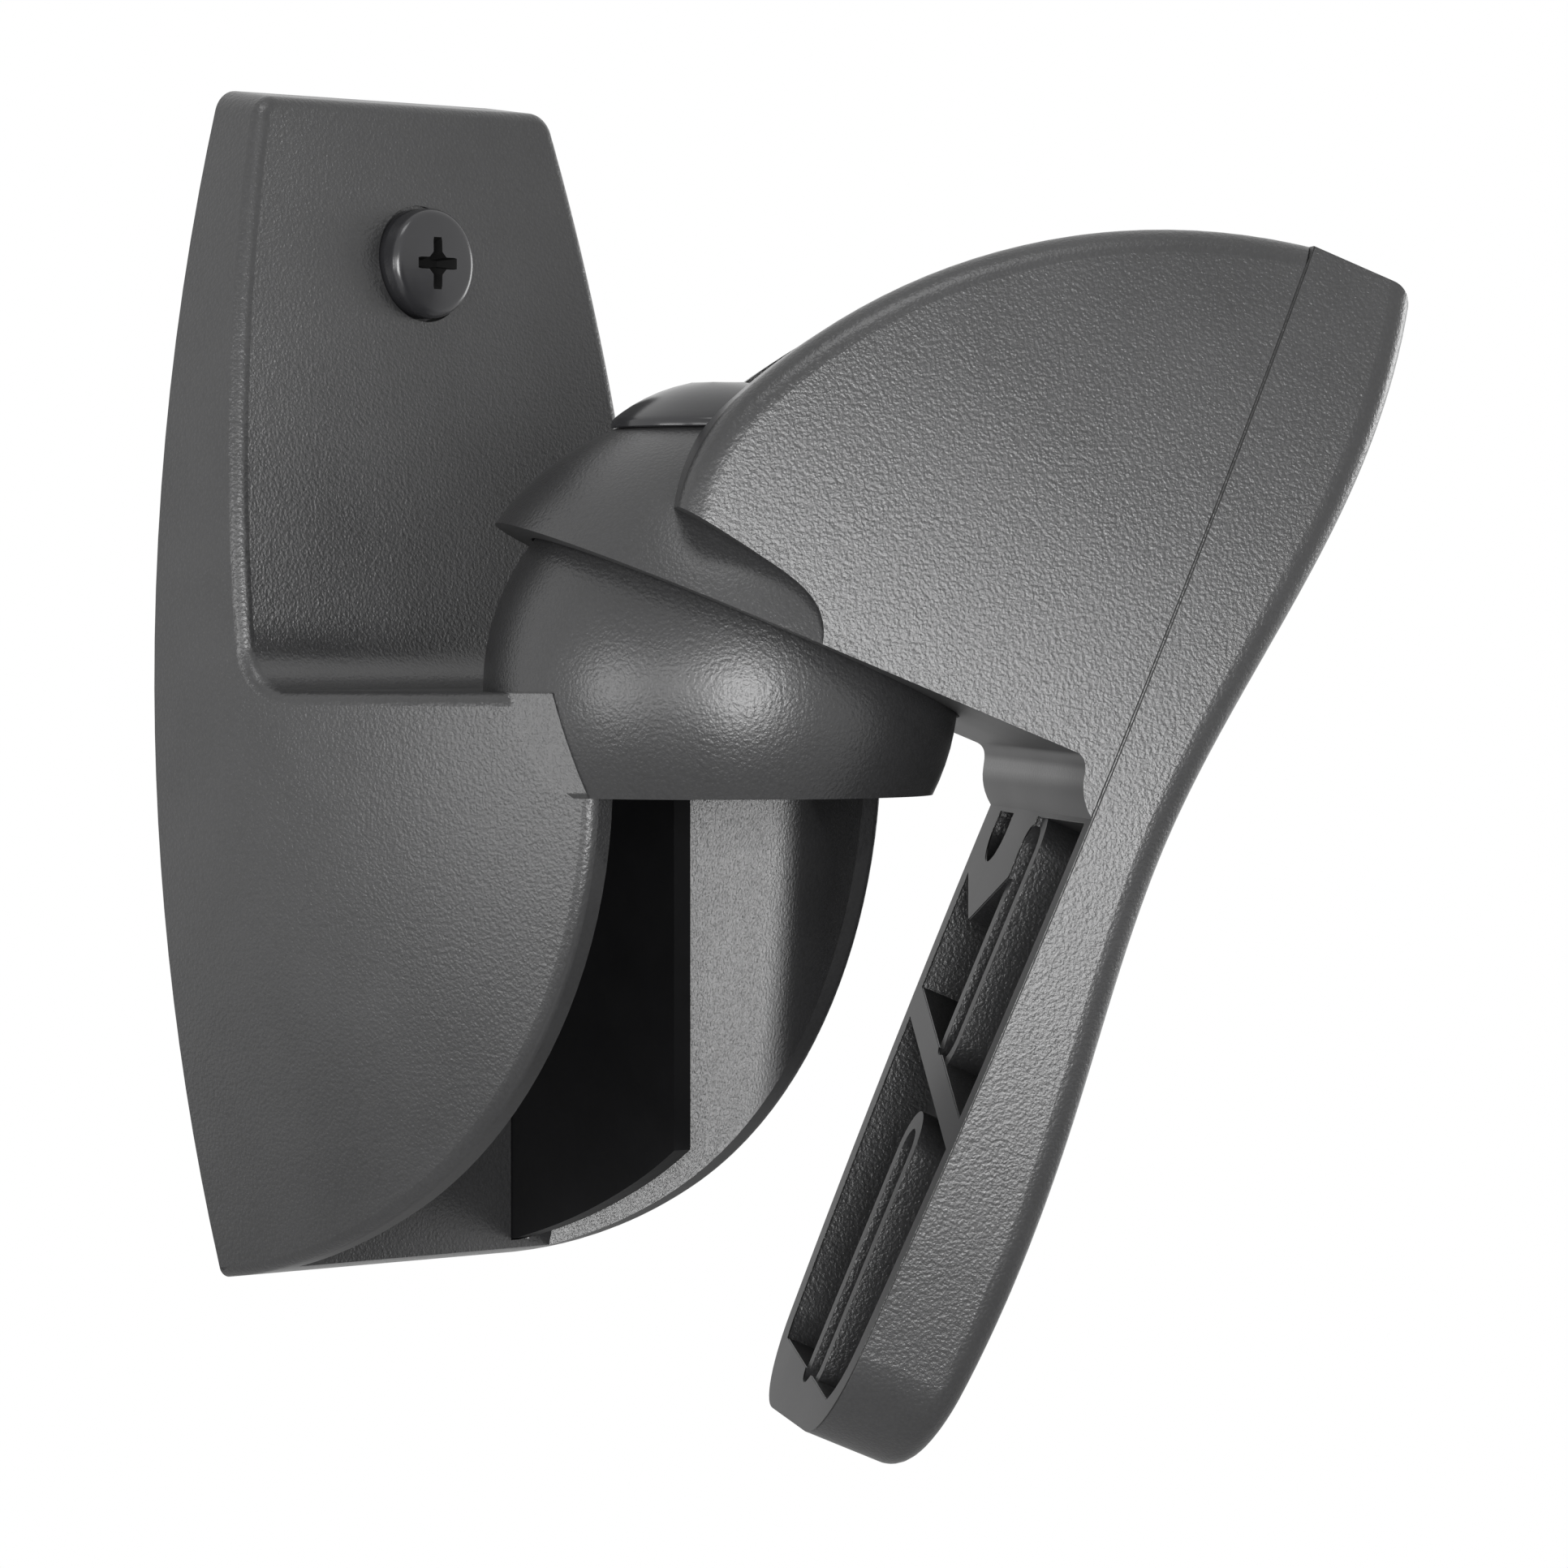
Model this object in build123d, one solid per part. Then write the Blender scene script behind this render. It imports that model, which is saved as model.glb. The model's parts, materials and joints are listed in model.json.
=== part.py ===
from build123d import *
import math
import os

# Speaker wall bracket. The wall plane is Y = 0, the bracket reaches towards -Y, and Z points up.
# The origin is on the wall, level with the centre of the ball. Millimetres and degrees.

# Wall housing
HOUSING_HEIGHT = 128.8
MID_HALF_WIDTH = 30.5
END_HALF_WIDTH = 21.0
MID_FRONT_HALF_WIDTH = 21.0
END_FRONT_HALF_WIDTH = 12.5
SIDE_BULGE = 3.0
PLATE_TOP_DEPTH = 7.5
PLATE_LEDGE_DEPTH = 15.0
PLATE_TOP_DROP = 1.0
LEDGE_Z = -0.4
LEDGE_FILLET = 5.5
LEDGE_LEAD = 0.5
SCALLOP_LEAD = 2.0
RIM_LEAD = 2.9
RIM_TOP_RISE = 0.5
RIM_MID_DEPTH = 51.6
RIM_MID_Z = -34.0
RIM_LOW_DEPTH = 30.0
RIM_LOW_RISE = 9.2
WALL = 3.0
BACK_WEB = 10.0
HOUSING_ROUND = 1.5
TOP_CORNER = 3.0

# Ball joint
BALL_RADIUS = 25.0
BALL_REACH = 55.5
BALL_FLAT_Z = -11.3
JOINT_GAP = 0.3
CAP_WALL = 4.0
CAP_RIM = 6.7

# Pose of the arm in the photograph, and how far it tilts from level
SWIVEL = 53.0
TILT = 22.8
TILT_UP_LIMIT = 8.0
TILT_DOWN_LIMIT = 24.0

# Clamp bolt, its bush and its nut
BOLT_DIAMETER = 8.0
BOLT_GAP = 0.05
BOLT_HOLE_GAP = 0.25
HEAD_RADIUS = 11.5
HEAD_EDGE = 0.9
HEAD_CROWN = 2.8
SOCKET_ACROSS_FLATS = 5.0
SOCKET_DEPTH = 2.2
NUT_ACROSS_FLATS = 13.0
NUT_HEIGHT = 6.5
NUT_GAP = 0.1
NUT_INSET = 0.8
BUSH_WIDTH = 12.0
BUSH_LENGTH = 12.0
BUSH_GAP = 0.1
SLOT_MARGIN = 1.0

# Steel wall bracket in the hollow of the housing
STEEL = 2.5
STEEL_HALF_WIDTH = 17.0
STEEL_END_INSET = 12.4
STEEL_CORNER = 4.0
STEEL_GAP = 0.15
FLANGE_X = 13.0
FLANGE_REACH = 35.5
FLANGE_TOP_GAP = 0.7
FLANGE_INSET = 1.0
WALL_HOLE = 5.5
WALL_HOLE_RISE = 24.4
WALL_HOLE_X = -4.0
ACCESS_HOLE = 12.0
KEYHOLE_Z = 20.0
KEYHOLE_ENTRY = 10.0
KEYHOLE_LIFT = 9.0
KEYHOLE_POCKET_DEPTH = 4.0

# Screw that holds the housing on the steel bracket
SCREW_TOP_INSET = 18.4
SCREW_DIAMETER = 5.0
SCREW_GAP = 0.05
SCREW_HOLE_GAP = 0.2
SCREW_HEAD = 12.0
SCREW_HEAD_HEIGHT = 3.6
SCREW_HEAD_CROWN = 1.6
SCREW_SEAT_INSET = 1.0
SCREW_SEAT_GAP = 0.4
SCREW_TIP = 0.6
RECESS_SPAN = 6.4
RECESS_SLOT = 1.5
RECESS_DEPTH = 1.9

# Arm, in its own frame: forward and up from the centre of the ball, level with the cap's rim plane
ARM_HALF_WIDTH = 28.5
ARM_END_HALF_WIDTH = 21.0
ARM_WIDEST_Z = -2.0
SEAM_REACH = 36.6
ARM_TOP = 65.0
ARM_TOP_MID = (7.0, 52.5)
ARM_NOSE = (-13.5, 27.0)
ARM_TIP = (-15.0, 14.0)
FAR_TOP_MID = (8.5, 50.1)
FAR_NOSE = (-10.3, 26.2)
FAR_TIP = (-12.0, 14.0)
ARM_TIP_SLOPE = (-1.0, -0.1)
ARM_WAIST = (-4.5, 12.4)
ARM_ROOT_REACH = 4.0
ARM_ROOT_SLOPE = (-0.2, -1.0)
ARM_ROUND = 3.0
NOTCH_DEPTH = 4.2
NOTCH_WALL = 2.3
NOTCH_WALL_Z = 4.2
NOTCH_FOOT_SLOPE = (-0.8, -0.6)
SEAM_BOTTOM = 1.0
ACCESS_HALF_WIDTH = 12.5
ACCESS_REACH = 18.0
CORE_REACH = 22.0
CORE_HALF_WIDTH = 20.0
CORE_BOTTOM = 11.0
CORE_TOP = 54.0
CORE_RIB = 10.0

# Speaker plate, in the arm's frame
PLATE_BOTTOM = -68.5
PLATE_CORNER = 12.0
PLATE_TOP_THICKNESS = 11.8
PLATE_UPPER_THICKNESS = 13.3
PLATE_UPPER_Z = 45.0
PLATE_WAIST_THICKNESS = 8.6
PLATE_WAIST_Z = 2.0
PLATE_LOWER_THICKNESS = 11.0
PLATE_LOWER_Z = -28.0
PLATE_END_THICKNESS = 11.0
PLATE_ROUND = 3.0
PLATE_RIM = 3.0
PLATE_FLOOR = 3.0
PLATE_POCKET_TOP = 0.5
SLOT_WIDTH = 5.2
SLOT_WALL = 2.0
SLOT_WALL_INSET = 0.6
RIB = 3.3

# Places on the back of the speaker plate, as shares of the way from the ball's level to its lower end
SLOT_SPANS = ((0.355, 0.045), (0.9, 0.55))
RIB_FAR = 0.31
RIB_NEAR = 0.515
END_WEB_FAR = 0.88
END_WEB_NEAR = 0.96
GUSSET_TIP = 0.175
GUSSET_SIDE = 0.08
GUSSET_TIP_X = 14.5
GUSSET_HOLE = 0.02
GUSSET_HOLE_X = 17.5
GUSSET_HOLE_WIDTH = 8.0

# Screws that hold the speaker plate on the arm
PLATE_SCREW_DIAMETER = 5.0
PLATE_SCREW_HEAD = 9.0
PLATE_SCREW_HEAD_HEIGHT = 3.0
PLATE_SCREW_LENGTH = 14.0
PLATE_SCREW_SEAT = 4.0
PLATE_SCREW_HEIGHTS = (18.0, 47.0)
PLATE_SCREW_GAP = 0.05
PLATE_SCREW_HEAD_GAP = 0.5
PLATE_SOCKET_ACROSS_FLATS = 3.0
PLATE_SOCKET_DEPTH = 1.6

HALF_HEIGHT = HOUSING_HEIGHT / 2
LEDGE_REACH = BALL_REACH + LEDGE_LEAD
RIM_REACH = BALL_REACH + RIM_LEAD
RIM_TOP_Z = BALL_FLAT_Z + RIM_TOP_RISE
RIM_LOW_Z = RIM_LOW_RISE - HALF_HEIGHT
STEEL_HEIGHT = HOUSING_HEIGHT - 2 * STEEL_END_INSET
WALL_HOLE_Z = WALL_HOLE_RISE - HALF_HEIGHT
SCREW_Z = HALF_HEIGHT - SCREW_TOP_INSET
NOTCH_REACH = SEAM_REACH - NOTCH_DEPTH
CAP_INNER = BALL_RADIUS + JOINT_GAP
CAP_OUTER = CAP_INNER + CAP_WALL
HEAD_SEAT = CAP_OUTER + JOINT_GAP
FAR = 200.0

BALL = Pos(0, -BALL_REACH, 0)
SWIVELLED = BALL * Rot(0, 0, SWIVEL)
ARM = SWIVELLED * Rot(TILT, 0, 0)


def block(x0, x1, y0, y1, z0, z1):
    """A box between two corners."""
    return Pos((x0 + x1) / 2, (y0 + y1) / 2, (z0 + z1) / 2) * Box(x1 - x0, y1 - y0, z1 - z0)


def rod(diameter, start, end):
    """A cylinder from one point to another."""
    axis = Vector(*end) - Vector(*start)
    upright = (Align.CENTER, Align.CENTER, Align.MIN)
    return Plane(origin=start, z_dir=axis) * Cylinder(diameter / 2, axis.length, align=upright)


def hexagon(across_flats, z0, z1):
    """A hexagonal prism on the Z axis."""
    return Pos(0, 0, z0) * extrude(RegularPolygon(across_flats / 2, 6, major_radius=False), z1 - z0)


def across(face, x0, x1):
    """Extrudes a side view, drawn as (Y, Z), across the width from x0 to x1."""
    return Pos(x0, 0, 0) * extrude(Plane.YZ * face, x1 - x0, dir=(1, 0, 0))


def forward(face, y0, y1):
    """Extrudes a front view, drawn as (X, Z), between two depths."""
    return Pos(0, y1, 0) * extrude(Plane.XZ * face, y1 - y0, dir=(0, -1, 0))


def sphere_height(radius, r):
    """Height of a sphere above its centre plane, at a distance r from its axis."""
    return math.sqrt(radius**2 - r**2)


def dome_arc(top, r, edge):
    """Arc of a dome from its rim at (r, edge) to its crown at (0, top)."""
    sagitta = top - edge
    radius = (r**2 + sagitta**2) / (2 * sagitta)
    return ThreePointArc((r, edge), (r / 2, top - radius + sphere_height(radius, r / 2)), (0, top))


def turned(edges):
    """Turns a half profile, drawn as (radius, Z), round the Z axis."""
    return revolve(Plane.XZ * make_face(edges), Axis.Z)


def barrel(mid, end, z):
    """A half width that bulges from the ends of the housing to its middle."""
    return mid - (mid - end) * (z / HALF_HEIGHT) ** 2


def bow_section(z, inset):
    """Plan of the housing at one height: flat on the wall, bowed sides, flat front."""
    back = barrel(MID_HALF_WIDTH, END_HALF_WIDTH, z) - inset
    front = barrel(MID_FRONT_HALF_WIDTH, END_FRONT_HALF_WIDTH, z) - inset
    middle = (back + front) / 2 + SIDE_BULGE
    reach = RIM_REACH + WALL
    edges = [Line((back, 0), (-back, 0)), Line((front, -reach), (-front, -reach))]
    for s in (1, -1):
        edges.append(ThreePointArc((s * back, 0), (s * middle, -reach / 2), (s * front, -reach)))
    return Pos(0, 0, z) * make_face(edges)


def bow_body(z0, z1, inset):
    """The bowed form between two heights."""
    return loft([bow_section(z, inset) for z in (z0, (z0 + z1) / 2, z1)])


def side_profile():
    """Side view of the housing: plate, ledge with its fillet, and the curved lower rim."""
    rim = ThreePointArc((-RIM_REACH, RIM_TOP_Z), (-RIM_MID_DEPTH, RIM_MID_Z), (-RIM_LOW_DEPTH, RIM_LOW_Z))
    tail = TangentArc([(-RIM_LOW_DEPTH, RIM_LOW_Z), (0, -HALF_HEIGHT)], tangent=rim % 1)
    scallop_mid = (-BALL_REACH - SCALLOP_LEAD, (LEDGE_Z + RIM_TOP_Z) / 2)
    scallop = ThreePointArc((-LEDGE_REACH, LEDGE_Z), scallop_mid, (-RIM_REACH, RIM_TOP_Z))
    outline = Polyline(
        (0, -HALF_HEIGHT),
        (0, HALF_HEIGHT),
        (-PLATE_TOP_DEPTH, HALF_HEIGHT - PLATE_TOP_DROP),
        (-PLATE_LEDGE_DEPTH, LEDGE_Z),
        (-LEDGE_REACH, LEDGE_Z),
    )
    face = make_face([rim, tail, scallop, *outline.edges()])
    corner = face.vertices().sort_by_distance((-PLATE_LEDGE_DEPTH, LEDGE_Z, 0))[0]
    return fillet(corner, LEDGE_FILLET)


def plate_depth(z):
    """Depth of the sloping front of the housing's plate at one height."""
    top = HALF_HEIGHT - PLATE_TOP_DROP
    return PLATE_TOP_DEPTH + (top - z) / (top - LEDGE_Z) * (PLATE_LEDGE_DEPTH - PLATE_TOP_DEPTH)


def flange(gap):
    """Flange of the steel bracket: it follows the rim of the housing, a little way inside it."""
    side = offset(side_profile(), gap - FLANGE_INSET)
    sheet = across(side, FLANGE_X - gap, FLANGE_X + STEEL + gap)
    top = BALL_FLAT_Z - FLANGE_TOP_GAP + gap
    return sheet & block(-FAR, FAR, -FLANGE_REACH - gap, -STEEL / 2, -FAR, top)


def keyhole(width, entry, y0, y1):
    """A keyhole for a wall screw's head: a round entry, with a slot of the given width above it."""
    top = KEYHOLE_Z + KEYHOLE_LIFT
    hole = rod(entry, (0, y0, KEYHOLE_Z), (0, y1, KEYHOLE_Z))
    hole += block(-width / 2, width / 2, y0, y1, KEYHOLE_Z, top)
    return hole + rod(width, (0, y0, top), (0, y1, top))


SCREW_SEAT = -(plate_depth(SCREW_Z) - SCREW_SEAT_INSET)


def make_wall_housing():
    body = bow_body(-HALF_HEIGHT, HALF_HEIGHT, 0) & across(side_profile(), -FAR, FAR)
    on_top = body.edges().filter_by(lambda edge: edge.bounding_box().min.Z > HALF_HEIGHT - TOP_CORNER)
    body = fillet(on_top.filter_by(lambda edge: edge.bounding_box().size.X < END_HALF_WIDTH), TOP_CORNER)
    on_wall = body.edges().filter_by(lambda edge: edge.bounding_box().min.Y > -HOUSING_ROUND)
    body = fillet(body.edges() - on_wall, HOUSING_ROUND)
    hollow = bow_body(-HALF_HEIGHT - WALL, BALL_FLAT_Z, WALL)
    body -= hollow & block(-FAR, FAR, -FAR, -BACK_WEB, -FAR, FAR)
    collar = BALL * Sphere(BALL_RADIUS + JOINT_GAP / 2) & across(side_profile(), -FAR, FAR)
    body += collar & block(-FAR, FAR, -FAR, FAR, BALL_FLAT_Z, LEDGE_Z)
    body += BALL * (Sphere(BALL_RADIUS) & block(-FAR, FAR, -FAR, FAR, BALL_FLAT_Z, FAR))
    body -= BALL * Cylinder(BOLT_DIAMETER / 2 + BOLT_HOLE_GAP, FAR)
    nut_top = BALL_FLAT_Z + NUT_INSET + NUT_HEIGHT
    body -= BALL * hexagon(NUT_ACROSS_FLATS + 2 * NUT_GAP, BALL_FLAT_Z - WALL, nut_top)
    half = STEEL_HALF_WIDTH + STEEL_GAP
    height = STEEL_HEIGHT / 2 + STEEL_GAP
    body -= block(-half, half, -STEEL, STEEL, -height, height)
    body -= flange(STEEL_GAP)
    body -= rod(ACCESS_HOLE, (WALL_HOLE_X, -BACK_WEB - WALL, WALL_HOLE_Z), (WALL_HOLE_X, 0, WALL_HOLE_Z))
    body -= keyhole(KEYHOLE_ENTRY, KEYHOLE_ENTRY, -STEEL - KEYHOLE_POCKET_DEPTH, 0)
    body -= rod(SCREW_DIAMETER + 2 * SCREW_HOLE_GAP, (0, 0, SCREW_Z), (0, -FAR, SCREW_Z))
    return body - rod(SCREW_HEAD + 2 * SCREW_SEAT_GAP, (0, SCREW_SEAT, SCREW_Z), (0, -FAR, SCREW_Z))


def make_wall_bracket():
    sheet = Rectangle(2 * STEEL_HALF_WIDTH, STEEL_HEIGHT)
    body = forward(fillet(sheet.vertices(), STEEL_CORNER), -STEEL, 0)
    body += flange(0)
    body -= rod(WALL_HOLE, (WALL_HOLE_X, -STEEL, WALL_HOLE_Z), (WALL_HOLE_X, 0, WALL_HOLE_Z))
    body -= keyhole(WALL_HOLE, KEYHOLE_ENTRY, -STEEL, 0)
    return body - rod(SCREW_DIAMETER + 2 * SCREW_GAP, (0, -STEEL, SCREW_Z), (0, 0, SCREW_Z))


def make_housing_screw():
    """Pan head with a cross recess. The tip stops short of the wall."""
    r = SCREW_HEAD / 2
    shank = -SCREW_SEAT - SCREW_TIP
    edge = SCREW_HEAD_HEIGHT - SCREW_HEAD_CROWN
    crown = dome_arc(SCREW_HEAD_HEIGHT, r, edge)
    outline = Polyline((0, SCREW_HEAD_HEIGHT), (0, 0), (r, 0), (r, edge))
    screw = turned([*outline.edges(), crown])
    screw += rod(SCREW_DIAMETER, (0, 0, 0), (0, 0, -shank))
    floor = SCREW_HEAD_HEIGHT - RECESS_DEPTH
    for across_x, across_y in ((RECESS_SPAN, RECESS_SLOT), (RECESS_SLOT, RECESS_SPAN)):
        screw -= block(-across_x / 2, across_x / 2, -across_y / 2, across_y / 2, floor, FAR)
    return Plane(origin=(0, SCREW_SEAT, SCREW_Z), x_dir=(1, 0, 0), z_dir=(0, -1, 0)) * screw


def make_clamp_nut():
    low = BALL_FLAT_Z + NUT_INSET
    nut = hexagon(NUT_ACROSS_FLATS, low, low + NUT_HEIGHT)
    return BALL * (nut - Cylinder(BOLT_DIAMETER / 2 + BOLT_GAP, FAR))


def make_slot_bush():
    """Keyed bush in the cap's slot: it swivels with the cap and lets it tilt."""
    outer = sphere_height(CAP_OUTER, BUSH_WIDTH / 2)
    shell = rod(2 * outer, (-BUSH_WIDTH / 2, 0, 0), (BUSH_WIDTH / 2, 0, 0))
    shell -= rod(2 * CAP_INNER, (-BUSH_WIDTH, 0, 0), (BUSH_WIDTH, 0, 0))
    key = block(-BUSH_WIDTH, BUSH_WIDTH, -BUSH_LENGTH / 2, BUSH_LENGTH / 2, 0, FAR)
    return SWIVELLED * ((shell & key) - Cylinder(BOLT_DIAMETER / 2 + BOLT_GAP, FAR))


def make_clamp_bolt():
    """Bolt with a domed head, hollowed below to bear on the cap, and a hexagon socket."""
    rim = sphere_height(HEAD_SEAT, HEAD_RADIUS)
    halfway = (HEAD_RADIUS / 2, sphere_height(HEAD_SEAT, HEAD_RADIUS / 2))
    crown = HEAD_SEAT + HEAD_CROWN
    under = ThreePointArc((0, HEAD_SEAT), halfway, (HEAD_RADIUS, rim))
    edge = Line((HEAD_RADIUS, rim), (HEAD_RADIUS, rim + HEAD_EDGE))
    dome = dome_arc(crown, HEAD_RADIUS, rim + HEAD_EDGE)
    bolt = turned([under, edge, dome, Line((0, crown), (0, HEAD_SEAT))])
    bolt += rod(BOLT_DIAMETER, (0, 0, BALL_FLAT_Z + NUT_INSET), (0, 0, crown - SOCKET_DEPTH))
    return BALL * (bolt - hexagon(SOCKET_ACROSS_FLATS, crown - SOCKET_DEPTH, FAR))


def arm_outline():
    """Front view of the arm and of the speaker plate: a barrel, rounded at its lower end."""
    sides = []
    for s in (1, -1):
        top, bottom = (s * ARM_END_HALF_WIDTH, ARM_TOP), (s * ARM_END_HALF_WIDTH, PLATE_BOTTOM)
        sides.append(ThreePointArc(top, (s * ARM_HALF_WIDTH, ARM_WIDEST_Z), bottom))
    ends = [Line(sides[0] @ end, sides[1] @ end) for end in (0, 1)]
    face = make_face(sides + ends)
    return fillet(face.vertices().sort_by(Axis.Y)[:2], PLATE_CORNER)


def arm_profile(top_mid, nose, tip):
    """Side view of the fan at one of its sides, from the cap's rim plane to the seam with the plate."""

    def at(reach, z):
        return (-reach, z)

    root, notch = at(ARM_ROOT_REACH, CAP_RIM), at(NOTCH_REACH, CAP_RIM)
    foot, top = at(SEAM_REACH, SEAM_BOTTOM), at(SEAM_REACH, ARM_TOP)
    crest = ThreePointArc(top, at(*top_mid), at(*nose))
    front = TangentArc([at(*nose), at(*tip)], tangent=crest % 1)
    waist = Spline([at(*tip), at(*ARM_WAIST), root], tangents=[ARM_TIP_SLOPE, ARM_ROOT_SLOPE])
    notch_wall = at(SEAM_REACH - NOTCH_WALL, NOTCH_WALL_Z)
    toe = Spline([notch, notch_wall, foot], tangents=[(-1, 0), NOTCH_FOOT_SLOPE])
    return make_face([Line(root, notch), toe, Line(foot, top), crest, front, waist])


def lip_edges(body):
    """Side edges of the fan from the top of its seam round to its tip."""
    sides = body.edges().filter_by(lambda edge: abs(edge.center().X) > ACCESS_HALF_WIDTH)
    behind = sides.filter_by(lambda edge: edge.bounding_box().max.Y > -ARM_ROOT_REACH)
    return behind.filter_by(lambda edge: edge.center().Z > ARM_TIP[1])


def slot_sector():
    """Slot in the cap for the bush, over the whole range of tilt."""
    room = math.degrees(math.asin(BUSH_LENGTH / 2 / CAP_INNER)) + SLOT_MARGIN
    width = BUSH_WIDTH + 2 * BUSH_GAP
    strip = Plane.XZ * Pos(0, CAP_OUTER) * Rectangle(width, CAP_OUTER)
    sector = revolve(strip, Axis.X, TILT_UP_LIMIT + TILT_DOWN_LIMIT + 2 * room)
    return Rot(-TILT_DOWN_LIMIT - room, 0, 0) * sector


def plate_screw_holes(diameter, y0, y1):
    return [rod(diameter, (0, y0, z), (0, y1, z)) for z in PLATE_SCREW_HEIGHTS]


PLATE_SCREW_FACE = -SEAM_REACH - PLATE_SCREW_SEAT
PLATE_SCREW_END = PLATE_SCREW_FACE + PLATE_SCREW_LENGTH


def make_arm_shell():
    span = ARM_HALF_WIDTH + ARM_ROUND
    near = Plane.YZ.offset(-span) * arm_profile(ARM_TOP_MID, ARM_NOSE, ARM_TIP)
    far = Plane.YZ.offset(span) * arm_profile(FAR_TOP_MID, FAR_NOSE, FAR_TIP)
    body = loft([near, far], ruled=True) & forward(arm_outline(), -ARM_TOP, ARM_TOP)
    body = fillet(lip_edges(body), ARM_ROUND)
    body += Sphere(CAP_OUTER) & block(-FAR, FAR, -FAR, FAR, CAP_RIM, FAR)
    body -= Sphere(CAP_INNER)
    centre = ACCESS_HALF_WIDTH - ACCESS_REACH
    access = block(-ACCESS_HALF_WIDTH, ACCESS_HALF_WIDTH, centre, FAR, 0, FAR)
    access += rod(2 * ACCESS_HALF_WIDTH, (0, centre, 0), (0, centre, FAR))
    body -= access - Sphere(CAP_OUTER)
    body -= slot_sector()
    for x0, x1 in ((-CORE_HALF_WIDTH, -CORE_RIB / 2), (CORE_RIB / 2, CORE_HALF_WIDTH)):
        body -= block(x0, x1, -FAR, -CORE_REACH, CORE_BOTTOM, CORE_TOP)
    body -= plate_screw_holes(PLATE_SCREW_DIAMETER + 2 * PLATE_SCREW_GAP, -FAR, PLATE_SCREW_END)
    return ARM * body


def plate_profile():
    """Side view of the speaker plate: flat back, front hollowed between its two bearing ends."""
    front = [
        (-SEAM_REACH - PLATE_TOP_THICKNESS, ARM_TOP),
        (-SEAM_REACH - PLATE_UPPER_THICKNESS, PLATE_UPPER_Z),
        (-SEAM_REACH - PLATE_WAIST_THICKNESS, PLATE_WAIST_Z),
        (-SEAM_REACH - PLATE_LOWER_THICKNESS, PLATE_LOWER_Z),
        (-SEAM_REACH - PLATE_END_THICKNESS, PLATE_BOTTOM),
    ]
    back = Polyline(front[0], (-SEAM_REACH, ARM_TOP), (-SEAM_REACH, PLATE_BOTTOM), front[-1])
    return make_face([Spline(front), *back.edges()])


def slot(width, span):
    """Obround of one speaker-screw slot, drawn as (X, Z)."""
    low, high = [share * PLATE_BOTTOM for share in span]
    return Pos(0, (low + high) / 2) * SlotCenterToCenter(high - low, width, rotation=90)


def sloping_line(far, near):
    """A line across the plate's back, at one share of the way down on each side."""
    return [(ARM_HALF_WIDTH, far * PLATE_BOTTOM), (-ARM_HALF_WIDTH, near * PLATE_BOTTOM)]


def plate_rib():
    ends = sloping_line(RIB_FAR, RIB_NEAR)
    slope = math.degrees(math.atan2(ends[0][1] - ends[1][1], 2 * ARM_HALF_WIDTH))
    return Pos(0, (ends[0][1] + ends[1][1]) / 2) * Rot(0, 0, slope) * Rectangle(FAR, RIB)


def plate_gusset():
    """Pierced web between the upper slot and the far rim, pointed at its lower end."""
    side = GUSSET_SIDE * PLATE_BOTTOM
    web = make_face(Polyline(
        (0, ARM_TOP), (0, side), (GUSSET_TIP_X, GUSSET_TIP * PLATE_BOTTOM),
        (ARM_HALF_WIDTH, side), (ARM_HALF_WIDTH, ARM_TOP), close=True,
    ))
    hole = Pos(GUSSET_HOLE_X, GUSSET_HOLE * PLATE_BOTTOM) * Circle(GUSSET_HOLE_WIDTH / 2)
    return web - hole - Pos(GUSSET_HOLE_X, ARM_TOP / 2) * Rectangle(GUSSET_HOLE_WIDTH, ARM_TOP)


def make_speaker_plate():
    body = across(plate_profile(), -FAR, FAR) & forward(arm_outline(), -FAR, FAR)
    front = body.edges().filter_by(lambda edge: edge.bounding_box().max.Y < -SEAM_REACH - PLATE_ROUND)
    body = fillet(front, PLATE_ROUND)
    outline = offset(arm_outline(), -PLATE_RIM)
    end = sloping_line(END_WEB_FAR, END_WEB_NEAR)
    low = [(-ARM_HALF_WIDTH, -FAR), (ARM_HALF_WIDTH, -FAR)]
    outline -= make_face(Polyline(*end, *low, close=True))
    walls = [slot(SLOT_WIDTH + 2 * SLOT_WALL, span) for span in SLOT_SPANS]
    webs = plate_rib() + plate_gusset()
    below = block(-FAR, FAR, -FAR, FAR, -FAR, PLATE_POCKET_TOP)
    floor = -SEAM_REACH - PLATE_WAIST_THICKNESS + PLATE_FLOOR
    body -= forward(outline - walls - webs, floor, 0) & below
    body -= forward(outline & Sketch() + walls - webs, -SEAM_REACH - SLOT_WALL_INSET, 0) & below
    body -= [forward(slot(SLOT_WIDTH, span), -FAR, FAR) for span in SLOT_SPANS]
    body -= plate_screw_holes(PLATE_SCREW_DIAMETER + 2 * PLATE_SCREW_GAP, -FAR, 0)
    body -= plate_screw_holes(PLATE_SCREW_HEAD + 2 * PLATE_SCREW_HEAD_GAP, -FAR, PLATE_SCREW_FACE)
    return ARM * body


def make_plate_screws():
    screws = []
    for z in PLATE_SCREW_HEIGHTS:
        front = PLATE_SCREW_FACE - PLATE_SCREW_HEAD_HEIGHT
        screw = rod(PLATE_SCREW_HEAD, (0, front, z), (0, PLATE_SCREW_FACE, z))
        screw += rod(PLATE_SCREW_DIAMETER, (0, PLATE_SCREW_FACE, z), (0, PLATE_SCREW_END, z))
        face = Plane(origin=(0, front, z), x_dir=(1, 0, 0), z_dir=(0, -1, 0))
        screw -= face * hexagon(PLATE_SOCKET_ACROSS_FLATS, -PLATE_SOCKET_DEPTH, FAR)
        screws.append(ARM * screw)
    return Compound(screws)


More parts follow.
